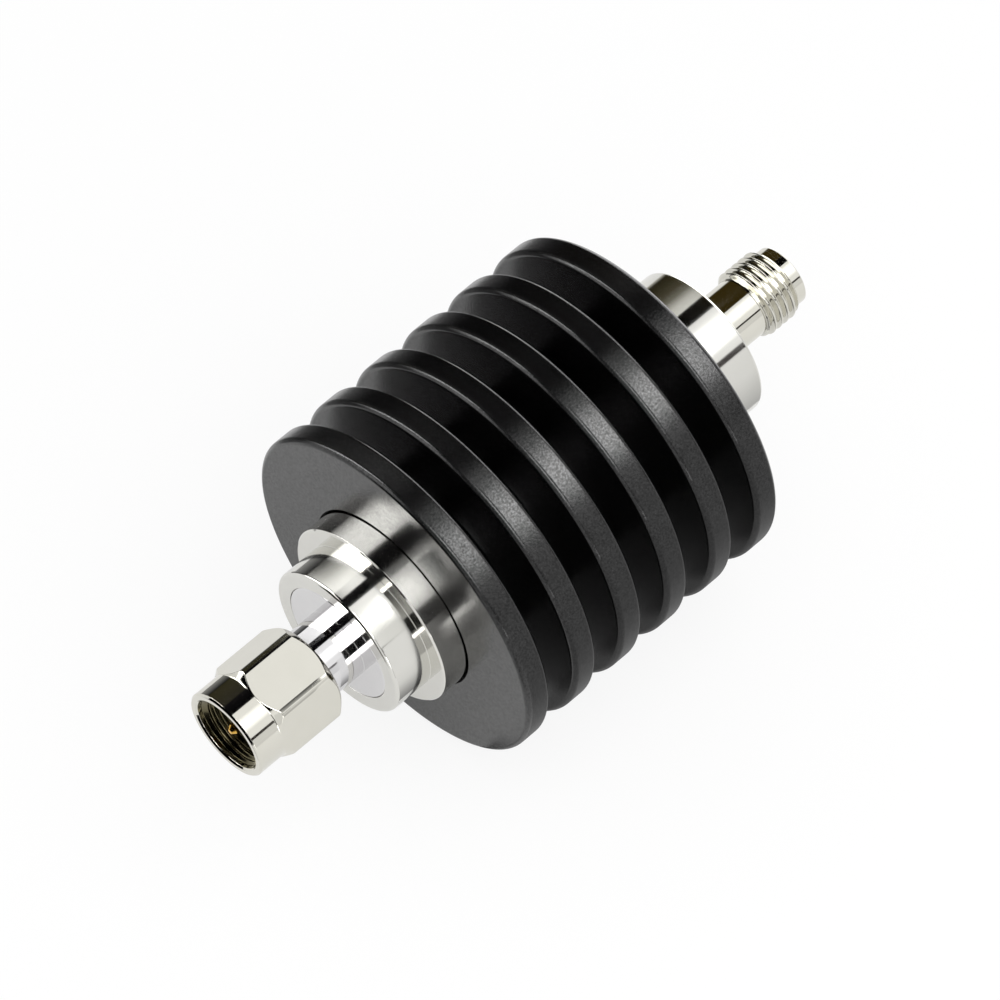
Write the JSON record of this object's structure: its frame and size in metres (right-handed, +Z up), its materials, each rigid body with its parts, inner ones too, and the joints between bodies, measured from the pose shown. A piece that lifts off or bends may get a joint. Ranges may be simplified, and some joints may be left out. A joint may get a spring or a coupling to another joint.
{
  "type": "coaxial attenuator",
  "caption": "In-line coaxial attenuator: a round finned heat sink on a plated body, with a threaded plug and its coupling nut at one end and a threaded jack at the other.",
  "frame": {"origin": "on the common axis at the plug's reference plane, which is the end face of the plug's front tube", "axes": "+X along the common axis from the plug to the jack, +Z up, +Y completes the right-handed frame; the axis lies level, as on a bench"},
  "size_m": [0.0608, 0.03, 0.03],
  "materials": {
    "black_anodised": "fine blasted, black anodised",
    "nickel_plate": "bright nickel plate",
    "spring_bronze": "bare spring bronze",
    "silicone": "moulded silicone",
    "gold_plate": "gold plate",
    "ptfe": "turned PTFE",
    "bead_plastic": "turned engineering plastic",
    "ceramic": "fired ceramic with a resistive film",
    "copper": "machined copper"
  },
  "bodies": {
    "body": {"heat_sink": "black_anodised", "core_body": "nickel_plate", "plug_shell": "nickel_plate", "nut_retaining_ring": "spring_bronze", "plug_gasket": "silicone", "plug_centre_pin": "gold_plate", "plug_dielectric": "ptfe", "plug_support_bead": "bead_plastic", "plug_lead_tab": "gold_plate", "attenuator_chip": "ceramic", "chip_carrier": "copper", "carrier_cap": "copper", "jack_lead_tab": "gold_plate", "jack_support_bead": "bead_plastic", "jack_contact": "gold_plate", "jack_dielectric": "ptfe", "jack_shell": "nickel_plate"},
    "nut": {"coupling_nut": "nickel_plate"}
  },
  "joints": [
    {"name": "nut_spin", "type": "hinge", "parent": "body", "child": "nut", "pos_m": [0, 0, 0], "axis": [1, 0, 0], "continuous": true}
  ]
}
